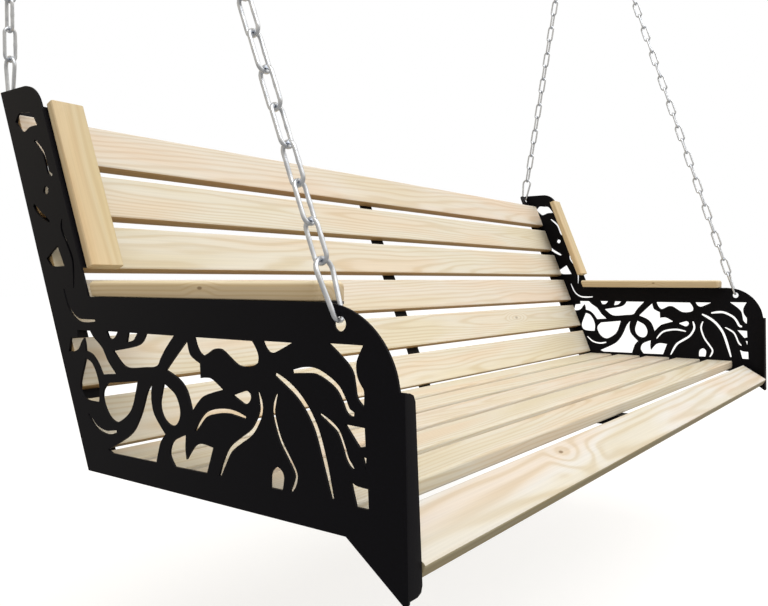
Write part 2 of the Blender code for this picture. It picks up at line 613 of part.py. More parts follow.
def main():
    for old in list(bpy.data.objects):
        bpy.data.objects.remove(old)
    black = material("powder_coated_steel", (0.012, 0.012, 0.014), 0.0, 0.42)
    pine = material("planed_pine", (0.72, 0.55, 0.34), 0.0, 0.55)
    zinc = material("galvanised_steel", (0.62, 0.63, 0.65), 1.0, 0.32)
    swing_axis = bpy.data.objects.new("swing_axis", None)
    bpy.context.scene.collection.objects.link(swing_axis)
    make_back_and_seat(swing_axis, pine)
    make_middle_strap("middle_strap", swing_axis, black)
    front_hole = in_space(FRONT_HOLE) + BENCH_PLACE
    rear_hole = in_space(REAR_HOLE_EDGE) + BENCH_PLACE
    for side, label in ((-1, "left"), (1, "right")):
        make_side_panel(f"{label}_side_panel", side, swing_axis, black)
        make_armrest(f"{label}_armrest", side, swing_axis, pine)
        make_upright_board(f"{label}_upright_board", side, swing_axis, pine)
        front_hole.x = side * (BENCH_WIDTH / 2 - SHEET / 2)
        rear_hole.x = side * (BENCH_WIDTH / 2 - REAR_HOLE_INWARD)
        offset = RING_LINK_SPACING / 2
        make_chain(f"{label}_front", side, FRONT_LINKS, front_hole, offset, swing_axis, zinc)
        make_chain(f"{label}_rear", side, REAR_LINKS, rear_hole, -offset, swing_axis, zinc)
        make_ring(f"{label}_ring", side, zinc)


main()
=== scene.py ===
"""Garden swing bench, dressed: planed pine, powder-coated sheet steel and bright zinc chain."""
import math

import bmesh
import bpy
from mathutils import Matrix, Vector
from mathutils.geometry import interpolate_bezier


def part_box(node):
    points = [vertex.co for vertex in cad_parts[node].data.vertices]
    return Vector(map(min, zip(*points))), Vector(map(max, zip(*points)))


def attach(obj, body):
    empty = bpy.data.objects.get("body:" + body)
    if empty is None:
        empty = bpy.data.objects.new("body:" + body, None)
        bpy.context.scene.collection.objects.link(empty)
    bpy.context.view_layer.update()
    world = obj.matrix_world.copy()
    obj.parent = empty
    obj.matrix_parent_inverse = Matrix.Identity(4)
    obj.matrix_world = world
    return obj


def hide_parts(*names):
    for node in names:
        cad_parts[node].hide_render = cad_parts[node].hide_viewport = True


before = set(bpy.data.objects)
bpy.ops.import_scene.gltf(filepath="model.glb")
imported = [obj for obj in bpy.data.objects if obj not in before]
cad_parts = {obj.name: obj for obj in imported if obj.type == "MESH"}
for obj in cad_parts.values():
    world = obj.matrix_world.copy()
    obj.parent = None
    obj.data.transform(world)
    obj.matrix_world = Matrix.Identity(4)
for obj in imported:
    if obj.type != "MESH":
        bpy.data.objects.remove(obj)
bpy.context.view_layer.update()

MM = 0.001

# Sizes that the panels and boards have in the solids too, in metres from the seat's front corner
HALF_WIDTH = 0.875
SHEET = 0.003
SEAT_DEPTH = 0.444
ARM_HEIGHT = 0.232
RECLINE = math.radians(22.2)
APRON_TILT = math.radians(31)
SEAT_MIDDLE = 0.2224
SEAT_TOP = 0.0243
CROTCH_BACK = 0.4404
BACK_SLATS = 6
BACK_FIRST = 0.0575
BACK_PITCH = 0.0868
SEAT_SLATS = 5
SEAT_FIRST = 0.048
SEAT_PITCH = 0.0872
APRON_MIDDLE = 0.0425
STRAP_THICKNESS = 0.004

# Sizes that the chains, connectors and rings have in the solids too, in metres
LINK_PITCH = 0.042
LINK_WIRE = 0.005
LINK_WIDTH = 0.021
CONNECTOR_LENGTH = 0.060
CONNECTOR_WIRE = 0.0055
CONNECTOR_TOP_RADIUS = 0.0125
CONNECTOR_TOE_RADIUS = 0.0065
RING_WIRE = 0.006
RING_RADIUS = 0.036
RING_OUTSIDE = 0.070
RING_LINK_SPACING = 0.010
RING_LIFT = 0.0007
FRONT_LINKS = 35
REAR_LINKS = 26
FRONT_HOLE = Vector((0.0015, 0.007, 0.211))
REAR_HOLE_EDGE = Vector((0.0135, 0.6577, 0.5237))

# Directions of the bench, its back and its apron, and the seat's front corner in the frame
RIGHT = Vector((1, 0, 0))
BACKWARD = Vector((0, 1, 0))
UP = Vector((0, 0, 1))
UP_BACK = Vector((0, math.sin(RECLINE), math.cos(RECLINE)))
OFF_BACK = Vector((0, -math.cos(RECLINE), math.sin(RECLINE)))
DOWN_APRON = Vector((0, -math.cos(APRON_TILT), -math.sin(APRON_TILT)))
OFF_APRON = Vector((0, -math.sin(APRON_TILT), math.cos(APRON_TILT)))
seat_low, seat_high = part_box("seat_slat_3")
SEAT_FRONT = Vector((0, (seat_low.y + seat_high.y) / 2 - SEAT_MIDDLE, seat_high.z - SEAT_TOP))

WHITE = "#ffffff"


def srgb(colour):
    """Linear colour with full alpha from an sRGB hex value."""
    channels = [int(colour[i:i + 2], 16) / 255 for i in (1, 3, 5)]
    return (*(c / 12.92 if c <= 0.04045 else ((c + 0.055) / 1.055) ** 2.4 for c in channels), 1)


def add_node(tree, kind, links=(), settings=None, values=()):
    """Add a node, set its properties and input values and link other nodes' outputs to its inputs."""
    node = tree.nodes.new(kind)
    for key, value in (settings or {}).items():
        setattr(node, key, value)
    for socket, value in values:
        node.inputs[socket].default_value = value
    for socket, output in links:
        tree.links.new(output, node.inputs[socket])
    return node


def new_material(name):
    """A material with its tree and its shader."""
    material = bpy.data.materials.new(name)
    material.use_nodes = True
    return material, material.node_tree, material.node_tree.nodes["Principled BSDF"]


def ramp_stops(node, stops):
    """Give a colour ramp its stops, as (place, hex colour)."""
    ramp = node.color_ramp
    while len(ramp.elements) > 1:
        ramp.elements.remove(ramp.elements[-1])
    for i, (place, colour) in enumerate(stops):
        stop = ramp.elements[0] if i == 0 else ramp.elements.new(place)
        stop.position = place
        stop.color = srgb(colour)


# Planed pine: pale sapwood with tan latewood lines. A flat-sawn face shows long soft arches where the saw
# crosses the growth rings, and planing leaves fine fibre streaks along the board. On some boards the narrow
# faces and ends are tinted browner as painted shade.
RING_DRIFT = 22 * MM
DRIFT_LENGTH = 420 * MM
DRIFT_WIDTH = 60 * MM
PATCH_TINTS = ((0.35, "#fff6ee"), (0.5, WHITE), (0.65, "#fbf8ee"))

# Places of earlywood, middle and latewood in a ring, and the spacing of a wave texture's rings at scale one
RING_STOPS = (0.15, 0.6, 0.97)
WAVE_PERIOD = 0.314

# The fibres of pine are much finer than this, so they are drawn as coarse as they need to show
FIBRE_WIDTH = 2.2 * MM
FIBRE_LENGTH = 160 * MM
FIBRE_DARK = 0.95
FIBRE_LIGHT = 1.03

# A face is narrow or broad by how squarely it faces along the board's thickness
NARROW_FACING = 0.45
BROAD_FACING = 0.85

# A knot is long along the board and fades at its rim, and the rings swell round it over some of its radii
KNOT_COLOUR = "#7d664a"
KNOT_SLIMNESS = 0.45
KNOT_CORE = 0.5
KNOT_RIM = 1.2
KNOT_BULGE = 3
BULGE_CORE = 0.4
BULGE_RIM = 9


def pine(name, axes, middle, pith, lean, ring_width, tones, narrow_shade, knots=()):
    """Planed pine of one board. The axes are the board's length, width and thickness, the pith is where
    the tree's heart runs beside the board's middle, the lean is how it slants along the board, and knots
    are (place in the board's own axes, radius, darkness)."""
    material, tree, shader = new_material(name)
    place = add_node(tree, "ShaderNodeTexCoord")
    shift = add_node(tree, "ShaderNodeVectorMath", [(0, place.outputs["Object"])],
                     {"operation": "SUBTRACT"}, [(1, middle)])
    board = add_node(tree, "ShaderNodeVectorRotate", [(0, shift.outputs[0])],
                     {"rotation_type": "EULER_XYZ"}, [("Rotation", Matrix(axes).to_euler())])
    slow = add_node(tree, "ShaderNodeVectorMath", [(0, board.outputs[0])], {"operation": "MULTIPLY_ADD"},
                    [(1, (1 / DRIFT_LENGTH, 1 / DRIFT_WIDTH, 1 / DRIFT_WIDTH)), (2, (pith[0], 0, 0))])
    drift = add_node(tree, "ShaderNodeTexNoise", [(0, slow.outputs[0])], None,
                     [("Scale", 1.0), ("Detail", 2.0), ("Roughness", 0.4)])
    wander = add_node(tree, "ShaderNodeVectorMath", [(0, drift.outputs["Color"])],
                      {"operation": "MULTIPLY_ADD"}, [(1, (0, RING_DRIFT, RING_DRIFT)), (2, pith)])
    heart = add_node(tree, "ShaderNodeVectorRotate", [(0, board.outputs[0])],
                     {"rotation_type": "EULER_XYZ"}, [("Rotation", (0, *lean))])
    rings_at = add_node(tree, "ShaderNodeVectorMath", [(0, heart.outputs[0]), (1, wander.outputs[0])],
                        {"operation": "ADD"})
    grown = rings_at.outputs[0]
    spots = []
    for centre, radius, darkness in knots:
        offset = add_node(tree, "ShaderNodeVectorMath", [(0, board.outputs[0])],
                          {"operation": "SUBTRACT"}, [(1, centre)])
        oval = add_node(tree, "ShaderNodeVectorMath", [(0, offset.outputs[0])],
                        {"operation": "MULTIPLY"}, [(1, (KNOT_SLIMNESS / radius, 1 / radius, 1 / radius))])
        far = add_node(tree, "ShaderNodeVectorMath", [(0, oval.outputs[0])], {"operation": "LENGTH"})
        bulge = add_node(tree, "ShaderNodeMapRange", [("Value", far.outputs["Value"])],
                         {"interpolation_type": "SMOOTHERSTEP"},
                         [("From Min", BULGE_CORE), ("From Max", BULGE_RIM),
                          ("To Min", KNOT_BULGE * radius), ("To Max", 0)])
        swell = add_node(tree, "ShaderNodeCombineXYZ", [("Z", bulge.outputs[0])])
        moved = add_node(tree, "ShaderNodeVectorMath", [(0, grown), (1, swell.outputs[0])],
                         {"operation": "ADD"})
        grown = moved.outputs[0]
        spots.append(add_node(tree, "ShaderNodeMapRange", [("Value", far.outputs["Value"])],
                              {"interpolation_type": "SMOOTHSTEP"},
                              [("From Min", KNOT_CORE), ("From Max", KNOT_RIM),
                               ("To Min", darkness), ("To Max", 0)]))
    rings = add_node(tree, "ShaderNodeTexWave", [(0, grown)],
                     {"wave_type": "RINGS", "rings_direction": "X", "wave_profile": "SIN"},
                     [("Scale", WAVE_PERIOD / ring_width), ("Distortion", 0.0)])
    ring_colour = add_node(tree, "ShaderNodeValToRGB", [(0, rings.outputs["Fac"])])
    ramp_stops(ring_colour, zip(RING_STOPS, tones))
    stretch = add_node(tree, "ShaderNodeVectorMath", [(0, board.outputs[0])], {"operation": "MULTIPLY"},
                       [(1, (1 / FIBRE_LENGTH, 1 / FIBRE_WIDTH, 1 / FIBRE_WIDTH))])
    fibres = add_node(tree, "ShaderNodeTexNoise", [(0, stretch.outputs[0])], None,
                      [("Scale", 1.0), ("Detail", 4.0)])
    fibre_tone = add_node(tree, "ShaderNodeMapRange", [("Value", fibres.outputs["Fac"])], None,
                          [("From Min", 0.3), ("From Max", 0.7),
                           ("To Min", FIBRE_DARK), ("To Max", FIBRE_LIGHT)])
    patches = add_node(tree, "ShaderNodeValToRGB", [(0, drift.outputs["Fac"])])
    ramp_stops(patches, PATCH_TINTS)
    patched = add_node(tree, "ShaderNodeMix", [("A", ring_colour.outputs[0]), ("B", patches.outputs[0])],
                       {"data_type": "RGBA", "blend_type": "MULTIPLY"}, [("Factor", 1.0)])
    # Painted shade: narrow faces and ends are multiplied by the board's browner tint
    facing = add_node(tree, "ShaderNodeVectorMath", [(0, place.outputs["Normal"])],
                      {"operation": "DOT_PRODUCT"}, [(1, axes[2])])
    broad = add_node(tree, "ShaderNodeMath", [(0, facing.outputs["Value"])], {"operation": "ABSOLUTE"})
    narrow_shade_ramp = add_node(tree, "ShaderNodeValToRGB", [(0, broad.outputs[0])])
    ramp_stops(narrow_shade_ramp, [(NARROW_FACING, narrow_shade), (BROAD_FACING, WHITE)])
    narrow_shaded = add_node(tree, "ShaderNodeMix", [("A", patched.outputs["Result"]), ("B", narrow_shade_ramp.outputs[0])],
                     {"data_type": "RGBA", "blend_type": "MULTIPLY"}, [("Factor", 1.0)])
    streaked = add_node(tree, "ShaderNodeVectorMath",
                        [(0, narrow_shaded.outputs["Result"]), ("Scale", fibre_tone.outputs[0])],
                        {"operation": "SCALE"})
    surface = streaked.outputs[0]
    for spot in spots:
        knotted = add_node(tree, "ShaderNodeMix", [("Factor", spot.outputs[0]), ("A", surface)],
                           {"data_type": "RGBA"}, [("B", srgb(KNOT_COLOUR))])
        surface = knotted.outputs["Result"]
    tree.links.new(surface, shader.inputs["Base Color"])
    gloss = add_node(tree, "ShaderNodeMapRange", [("Value", rings.outputs["Fac"])], None,
                     [("To Min", 0.62), ("To Max", 0.52)])
    tree.links.new(gloss.outputs[0], shader.inputs["Roughness"])
    bump = add_node(tree, "ShaderNodeBump", [("Height", fibres.outputs["Fac"])], None,
                    [("Strength", 0.10), ("Distance", 0.3 * MM)])
    tree.links.new(bump.outputs[0], shader.inputs["Normal"])
    shader.inputs["IOR"].default_value = 1.5
    shader.inputs["Specular IOR Level"].default_value = 0.25
    return material


# Powder coat on sheet steel: satin black with the fine orange peel of melted powder
PEEL_SIZE = 2.2 * MM
COAT_TONES = ((0.3, "#05050a"), (0.7, "#090911"))


def powder_coat(name):
    """Satin black powder coat, a little uneven in tone, gloss and height over its orange peel."""
    material, tree, shader = new_material(name)
    place = add_node(tree, "ShaderNodeTexCoord")
    peel = add_node(tree, "ShaderNodeTexNoise", [(0, place.outputs["Object"])], None,
                    [("Scale", 1 / PEEL_SIZE), ("Detail", 2.0)])
    tone = add_node(tree, "ShaderNodeValToRGB", [(0, peel.outputs["Fac"])])
    ramp_stops(tone, COAT_TONES)
    tree.links.new(tone.outputs[0], shader.inputs["Base Color"])
    gloss = add_node(tree, "ShaderNodeMapRange", [("Value", peel.outputs["Fac"])], None,
                     [("To Min", 0.40), ("To Max", 0.56)])
    tree.links.new(gloss.outputs[0], shader.inputs["Roughness"])
    bump = add_node(tree, "ShaderNodeBump", [("Height", peel.outputs["Fac"])], None,
                    [("Strength", 0.10), ("Distance", 0.2 * MM)])
    tree.links.new(bump.outputs[0], shader.inputs["Normal"])
    shader.inputs["Specular IOR Level"].default_value = 0.10
    return material


# Bright zinc plate on welded steel wire: light grey metal with a cool cast, a little cloudy and dull in
# places. The grain of the plating is finer than this spangle, which is drawn as coarse as it needs to show.
CLOUD_SIZE = 9 * MM
SPANGLE_SIZE = 1.5 * MM
ZINC_TONES = ((0.3, "#c2c7d0"), (0.7, "#dde2ea"))


def zinc_plate(name):
    """Bright zinc plate, duller where its clouds are darker."""
    material, tree, shader = new_material(name)
    place = add_node(tree, "ShaderNodeTexCoord")
    cloud = add_node(tree, "ShaderNodeTexNoise", [(0, place.outputs["Object"])], None,
                     [("Scale", 1 / CLOUD_SIZE), ("Detail", 3.0)])
    tone = add_node(tree, "ShaderNodeValToRGB", [(0, cloud.outputs["Fac"])])
    ramp_stops(tone, ZINC_TONES)
    tree.links.new(tone.outputs[0], shader.inputs["Base Color"])
    gloss = add_node(tree, "ShaderNodeMapRange", [("Value", cloud.outputs["Fac"])], None,
                     [("From Min", 0.3), ("From Max", 0.7), ("To Min", 0.46), ("To Max", 0.30)])
    tree.links.new(gloss.outputs[0], shader.inputs["Roughness"])
    spangle = add_node(tree, "ShaderNodeTexNoise", [(0, place.outputs["Object"])], None,
                       [("Scale", 1 / SPANGLE_SIZE), ("Detail", 2.0)])
    bump = add_node(tree, "ShaderNodeBump", [("Height", spangle.outputs["Fac"])], None,
                    [("Strength", 0.08), ("Distance", 0.2 * MM)])
    tree.links.new(bump.outputs[0], shader.inputs["Normal"])
    shader.inputs["Metallic"].default_value = 1.0
    return material


SMOOTH_BELOW = math.radians(40)


def add_piece(name, bm, material, body):
    """A named, smooth-shaded piece that moves with a body."""
    bmesh.ops.recalc_face_normals(bm, faces=bm.faces[:])
    mesh = bpy.data.meshes.new(name)
    bm.to_mesh(mesh)
    bm.free()
    mesh.materials.append(material)
    mesh.shade_smooth()
    mesh.set_sharp_from_angle(angle=SMOOTH_BELOW)
    piece = bpy.data.objects.new(name, mesh)
    bpy.context.scene.collection.objects.link(piece)
    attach(piece, body)
    return piece


def skin_rings(bm, rings):
    """Faces from each ring of points to the next."""
    for ring, following in zip(rings, rings[1:]):
        for a, b, c, d in zip(ring, ring[1:] + ring[:1], following[1:] + following[:1], following):
            bm.faces.new((a, b, c, d))


def close_rings(bm, rings):
    """A closed form through rings of points, with a flat face at both ends."""
    skin_rings(bm, rings)
    bm.faces.new(rings[0])
    bm.faces.new(rings[-1])


def sweep_wire(bm, path, normal, radii, sides):
    """Round wire along a closed flat path, with its own radius at each point."""
    turns = [2 * math.pi * k / sides for k in range(sides)]
    rings = []
    for i, point in enumerate(path):
        along = (path[(i + 1) % len(path)] - path[i - 1]).normalized()
        outward = along.cross(normal)
        rings.append([bm.verts.new(point + (outward * math.cos(t) + normal * math.sin(t)) * radii[i])
                      for t in turns])
    skin_rings(bm, rings + rings[:1])


LINK_ARC_STEPS = 10
LINK_SIDE_STEPS = 6
LINK_SIDE_LEAST = 2 * LINK_WIRE
LINK_WIRE_SIDES = 12
WELD_SWELL = 0.13
WELD_LENGTH = 5 * MM


def loop_outline(top, toe, top_radius, toe_radius):
    """Centre line of a link in (wide, down): two round ends with straight sides, which are divided."""
    top_middle = top + top_radius
    toe_middle = toe - toe_radius
    lean = math.asin((top_radius - toe_radius) / (toe_middle - top_middle))
    ends = ((top_middle, top_radius, math.pi - lean, math.pi + 2 * lean),
            (toe_middle, toe_radius, lean, math.pi - 2 * lean))
    arcs = []
    for middle, radius, first, sweep in ends:
        for k in range(LINK_ARC_STEPS + 1):
            turn = first + sweep * k / LINK_ARC_STEPS
            arcs.append(Vector((math.cos(turn) * radius, middle + math.sin(turn) * radius)))
    outline = []
    for point, following in zip(arcs, arcs[1:] + arcs[:1]):
        outline.append(point)
        if (following - point).length > LINK_SIDE_LEAST:
            outline += [point.lerp(following, k / LINK_SIDE_STEPS) for k in range(1, LINK_SIDE_STEPS)]
    return outline


def weld_radii(outline, wire, middle):
    """Wire radius along an outline, swollen where one long side was butt-welded."""
    radii = []
    for point in outline:
        near = max(0, 1 - abs(point.y - middle) / WELD_LENGTH) if point.x > 0 else 0
        radii.append(wire / 2 * (1 + WELD_SWELL * near))
    return radii


def hang_chain(name, side, links, hole, ring_offset, zinc):
    """Welded links from the ring down to the hole, each turned a quarter from the last, and the connector."""
    start = Vector((side * (HALF_WIDTH + RING_OUTSIDE + ring_offset), 0, RING_LIFT))
    end = SEAT_FRONT + Vector((side * (HALF_WIDTH - hole.x), hole.y, hole.z))
    down = (end - start).normalized()
    flat = (RIGHT - down * down.x).normalized()
    edge = down.cross(flat)
    half = (LINK_WIDTH - LINK_WIRE) / 2
    link = loop_outline(-LINK_WIRE / 2, LINK_PITCH + LINK_WIRE / 2, half, half)
    pear = loop_outline(-CONNECTOR_WIRE / 2, CONNECTOR_LENGTH + CONNECTOR_WIRE / 2,
                        CONNECTOR_TOP_RADIUS, CONNECTOR_TOE_RADIUS)
    link_radii = weld_radii(link, LINK_WIRE, LINK_PITCH / 2)
    pear_radii = weld_radii(pear, CONNECTOR_WIRE, CONNECTOR_LENGTH / 2)
    chain_bm = bmesh.new()
    pear_bm = bmesh.new()
    for i in range(links + 1):
        bm, outline, radii = (chain_bm, link, link_radii) if i < links else (pear_bm, pear, pear_radii)
        wide, normal = ((edge, flat), (flat, edge))[i % 2]
        top = start + down * (i * LINK_PITCH - RING_WIRE / 2)
        path = [top + wide * point.x + down * point.y for point in outline]
        sweep_wire(bm, path, normal, radii, LINK_WIRE_SIDES)
    chain = add_piece(f"{name}_welded_links", chain_bm, zinc, "bench")
    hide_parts(f"{name}_chain")
    connector = add_piece(f"{name}_pear_link", pear_bm, zinc, "bench")
    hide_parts(f"{name}_connector")


RING_STEPS = 72
RING_WIRE_SIDES = 20


def hang_ring(label, side, zinc):
    """Round hanging ring with its weld at the top."""
    middle = Vector((side * (HALF_WIDTH + RING_OUTSIDE), 0, RING_RADIUS))
    turns = [2 * math.pi * k / RING_STEPS for k in range(RING_STEPS)]
    path = [middle + Vector((math.sin(t), 0, -math.cos(t))) * RING_RADIUS for t in turns]
    radii = [RING_WIRE / 2 * (1 + WELD_SWELL * max(0, 1 - abs(t - math.pi) * RING_RADIUS / WELD_LENGTH))
             for t in turns]
    bm = bmesh.new()
    sweep_wire(bm, path, BACKWARD, radii, RING_WIRE_SIDES)
    ring = add_piece(f"{label}_welded_ring", bm, zinc, "rings")
    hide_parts(f"{label}_ring")


# Rings of a screw head from its rim down into its recess: radius and height in shares of the head's own, and
# how far every other point is drawn in
SCREW_HEAD_RADIUS = 4.2 * MM
SCREW_HEAD_HEIGHT = 2.6 * MM
SCREW_SEGMENTS = 12
SCREW_PROFILE = ((1.0, 0.0, 1), (1.0, 0.25, 1), (0.86, 0.68, 1), (0.62, 0.95, 1), (0.50, 1.0, 1),
                 (0.40, 1.0, 0.78), (0.36, 0.35, 0.78))


def add_screw(bm, place, out):
    """Pan-head screw with a six-lobed recess, its head standing on a point of a steel face."""
    aside = out.orthogonal().normalized()
    across = out.cross(aside)
    rings = []
    for radius, height, lobe in SCREW_PROFILE:
        ring = []
        for k in range(SCREW_SEGMENTS):
            turn = 2 * math.pi * k / SCREW_SEGMENTS
            reach = SCREW_HEAD_RADIUS * radius * (lobe if k % 2 else 1)
            ring.append(bm.verts.new(place + (aside * math.cos(turn) + across * math.sin(turn)) * reach
                                     + out * (SCREW_HEAD_HEIGHT * height)))
        rings.append(ring)
    close_rings(bm, rings)


# Screws stand in pairs across a slat, this far in from the panels' outer faces and on the strap
SCREW_PAIR = 0.018
FLANGE_SCREW_IN = 0.026
APRON_SCREW_IN = 0.036
STRAP_SCREW_X = -0.055
ARMREST_SCREWS = (0.09, 0.25, 0.40)
UPRIGHT_SCREWS = (0.085, 0.25)


def screw_boards(coat):
    """Screws behind the back, under the seat, under the apron and behind the arm boards."""
    bm = bmesh.new()
    rear = SEAT_FRONT + BACKWARD * SEAT_DEPTH
    crotch = SEAT_FRONT + BACKWARD * CROTCH_BACK + UP * ARM_HEIGHT
    spots = []
    for i in range(BACK_SLATS):
        middle = rear + UP_BACK * (BACK_FIRST + i * BACK_PITCH)
        spots.append((middle, UP_BACK, OFF_BACK, FLANGE_SCREW_IN))
    for i in range(SEAT_SLATS):
        middle = SEAT_FRONT + BACKWARD * (SEAT_FIRST + i * SEAT_PITCH)
        spots.append((middle, BACKWARD, UP, FLANGE_SCREW_IN))
    spots.append((SEAT_FRONT + DOWN_APRON * APRON_MIDDLE, DOWN_APRON, OFF_APRON, APRON_SCREW_IN))
    for middle, along, off, inward in spots:
        for step in (-SCREW_PAIR, SCREW_PAIR):
            place = middle + along * step
            for side in (-1, 1):
                add_screw(bm, place + RIGHT * (side * (HALF_WIDTH - inward)), -off)
            strap_under = off * (SHEET - STRAP_THICKNESS)
            add_screw(bm, place + RIGHT * STRAP_SCREW_X + strap_under, -off)
    for side in (-1, 1):
        inside = RIGHT * (side * (HALF_WIDTH - FLANGE_SCREW_IN))
        for back in ARMREST_SCREWS:
            add_screw(bm, SEAT_FRONT + inside + BACKWARD * back + UP * (ARM_HEIGHT - SHEET), -UP)
        for rise in UPRIGHT_SCREWS:
            add_screw(bm, crotch + inside + UP_BACK * rise - OFF_BACK * SHEET, -OFF_BACK)
    add_piece("board_screws", bm, coat, "bench")


# Edges as the planer and the coat leave them: broken, not sharp
SAME_POINT = 0.02 * MM
BOARD_EDGE = 0.8 * MM
SHEET_EDGE = 0.35 * MM
EDGE_STEPS = 2
EDGE_ABOVE = math.radians(50)


def break_edges(piece, edge_round):
    """Take the sharpness off a piece's edges."""
    weld = piece.modifiers.new("joined_edges", "WELD")
    weld.merge_threshold = SAME_POINT
    soft = piece.modifiers.new("broken_edges", "BEVEL")
    soft.width = edge_round
    soft.segments = EDGE_STEPS
    soft.limit_method = "ANGLE"
    soft.angle_limit = EDGE_ABOVE


def dress_node(node, material, edge_round):
    """Give a solid its finish and break its sharp edges."""
    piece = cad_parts[node]
    piece.data.materials.clear()
    piece.data.materials.append(material)
    break_edges(piece, edge_round)


# Steps to a facet of a cut, the turn and the length from which a facet stays as it is, and how little the
# wall of a cut faces along the bench
CUT_STEPS = 4
CUT_CORNER = math.radians(48)
CUT_LONGEST = 45 * MM
CUT_FACING = 0.1


def cut_walls(bm, outer, inner):
    """Faces of the cuts through a sheet, which join its outer and its inner side."""
    return [face for face in bm.faces
            if abs(face.normal.x) < CUT_FACING and all(vert in outer or vert in inner for vert in face.verts)]


def whole_walls(bm, outer, inner):
    """Faces of the cuts, with the triangles of each facet joined to one face."""
    walls = set(cut_walls(bm, outer, inner))
    slanted = [edge for edge in bm.edges
               if len(edge.link_faces) == 2 and walls.issuperset(edge.link_faces)
               and (edge.verts[0] in outer) != (edge.verts[1] in outer)
               and (edge.verts[0].co - edge.verts[1].co).yz.length > SAME_POINT]
    bmesh.ops.dissolve_edges(bm, edges=slanted)
    return cut_walls(bm, outer, inner)


def cut_goes_on(beside, vert, other):
    """The point of a cut that follows after two others, or none at a sharp corner."""
    following = [near for near in beside[vert] if near is not other]
    if len(following) != 1:
        return None
    turn = (vert.co - other.co).angle(following[0].co - vert.co)
    return following[0].co.copy() if turn < CUT_CORNER else None


def cut_curve(start, end, before, after):
    """Points of a smooth curve over one facet, which runs on into the facets beside it."""
    chord = end - start
    first = (chord if before is None else end - before).normalized() * (chord.length / 3)
    last = (chord if after is None else after - start).normalized() * (chord.length / 3)
    return interpolate_bezier(start, start + first, end - last, end, CUT_STEPS + 1)[1:-1]


def split_edge(bm, start, end):
    """Put points evenly along an edge, in order from its start."""
    made = []
    for k in range(CUT_STEPS - 1):
        edge = bm.edges.get((start, end))
        start = bmesh.utils.edge_split(edge, start, 1 / (CUT_STEPS - k))[1]
        made.append(start)
    return made


def smooth_panel(label, side, coat):
    """Side panel whose laser-cut edges run in smooth curves through the solid's points."""
    node = f"{label}_side_panel"
    bm = bmesh.new()
    bm.from_mesh(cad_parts[node].data)
    bmesh.ops.remove_doubles(bm, verts=bm.verts[:], dist=SAME_POINT)
    outer = {vert for vert in bm.verts if abs(HALF_WIDTH - side * vert.co.x) < SAME_POINT}
    inner = {vert for vert in bm.verts if abs(HALF_WIDTH - SHEET - side * vert.co.x) < SAME_POINT}
    beside = {}
    spans = []
    for wall in whole_walls(bm, outer, inner):
        across = {a: b for edge in wall.edges for a, b in (edge.verts, reversed(edge.verts))
                  if a in outer and b in inner}
        if len(across) == 2 and len(wall.verts) == 4:
            start, end = across
            spans.append((start, end, across))
            beside.setdefault(start, []).append(end)
            beside.setdefault(end, []).append(start)
    curves = []
    for start, end, across in spans:
        before = cut_goes_on(beside, start, end)
        after = cut_goes_on(beside, end, start)
        curved = before is not None or after is not None
        if curved and (end.co - start.co).length < CUT_LONGEST:
            curves.append((start, end, across, cut_curve(start.co, end.co, before, after)))
    for start, end, across, points in curves:
        fronts = split_edge(bm, start, end)
        backs = split_edge(bm, across[start], across[end])
        for front, back, point in zip(fronts, backs, points):
            shared = set(front.link_faces) & set(back.link_faces)
            bmesh.utils.face_split(shared.pop(), front, back)
            front.co = point
            back.co = (across[start].co.x, point.y, point.z)
    panel = add_piece(f"{node}_laser_cut", bm, coat, "bench")
    break_edges(panel, SHEET_EDGE)
    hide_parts(node)


ARMREST_OVER = 7 * MM
ARMREST_UNDER = 1.5 * MM
ARMREST_CORNER = 6 * MM
ARMREST_TIGHTEST = 1 * MM
ARMREST_ROUND_STEPS = 6


def armrest_ring(bm, low, high, inset, height):
    """One level of an armrest: front corners round, rear end cut along the upright."""
    corner = max(ARMREST_CORNER - inset, ARMREST_TIGHTEST)
    rear = high.y - (high.z - height) * math.tan(RECLINE) - inset
    points = []
    for middle, first in ((low.x + inset + corner, math.pi), (high.x - inset - corner, 1.5 * math.pi)):
        for k in range(ARMREST_ROUND_STEPS + 1):
            turn = first + math.pi / 2 * k / ARMREST_ROUND_STEPS
            points.append((middle + math.cos(turn) * corner, low.y + inset + corner * (1 + math.sin(turn))))
    points += [(high.x - inset, rear), (low.x + inset, rear)]
    return [bm.verts.new((*point, height)) for point in points]


def round_armrest(node, finish):
    """Armrest board with its upper edges rounded over for the hand and its lower ones only broken."""
    low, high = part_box(node)
    turns = [math.pi / 2 * k / ARMREST_ROUND_STEPS for k in range(ARMREST_ROUND_STEPS + 1)]
    under = (ARMREST_UNDER, low.z + ARMREST_UNDER, -1)
    over = (ARMREST_OVER, high.z - ARMREST_OVER, 1)
    bm = bmesh.new()
    rings = []
    for radius, level, way in (under, over):
        for turn in turns[::way]:
            inset = radius * (1 - math.cos(turn))
            rings.append(armrest_ring(bm, low, high, inset, level + way * radius * math.sin(turn)))
    close_rings(bm, rings)
    armrest = add_piece(f"{node}_rounded_board", bm, finish, "bench")
    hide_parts(node)


# Earlywood, middle and latewood of each kind of board, the painted shade tint of its narrow faces and ends
# (white for none), and the width of its growth rings
SLAT_TONES = ("#ddd8cb", "#dbd5c7", "#d4cab5")
PINK_TONES = ("#ded7cc", "#dcd4c7", "#d6cab8")
APRON_TONES = ("#d9d7d3", "#d7d3cb", "#cfc7b8")
ARMREST_TONES = ("#ebe2cc", "#e9dfc7", "#e1d4b8")
UPRIGHT_TONES = ("#d0c1a1", "#cebe9c", "#cab896")
BACK_NARROW_SHADE = "#d8c19c"
SEAT_NARROW_SHADE = WHITE
APRON_NARROW_SHADE = "#c8c0a7"
ARMREST_NARROW_SHADE = "#ddd3c8"
UPRIGHT_NARROW_SHADE = WHITE
SLAT_RINGS = 5 * MM
APRON_RINGS = 9 * MM
ARMREST_RINGS = 6 * MM
UPRIGHT_RINGS = 8 * MM

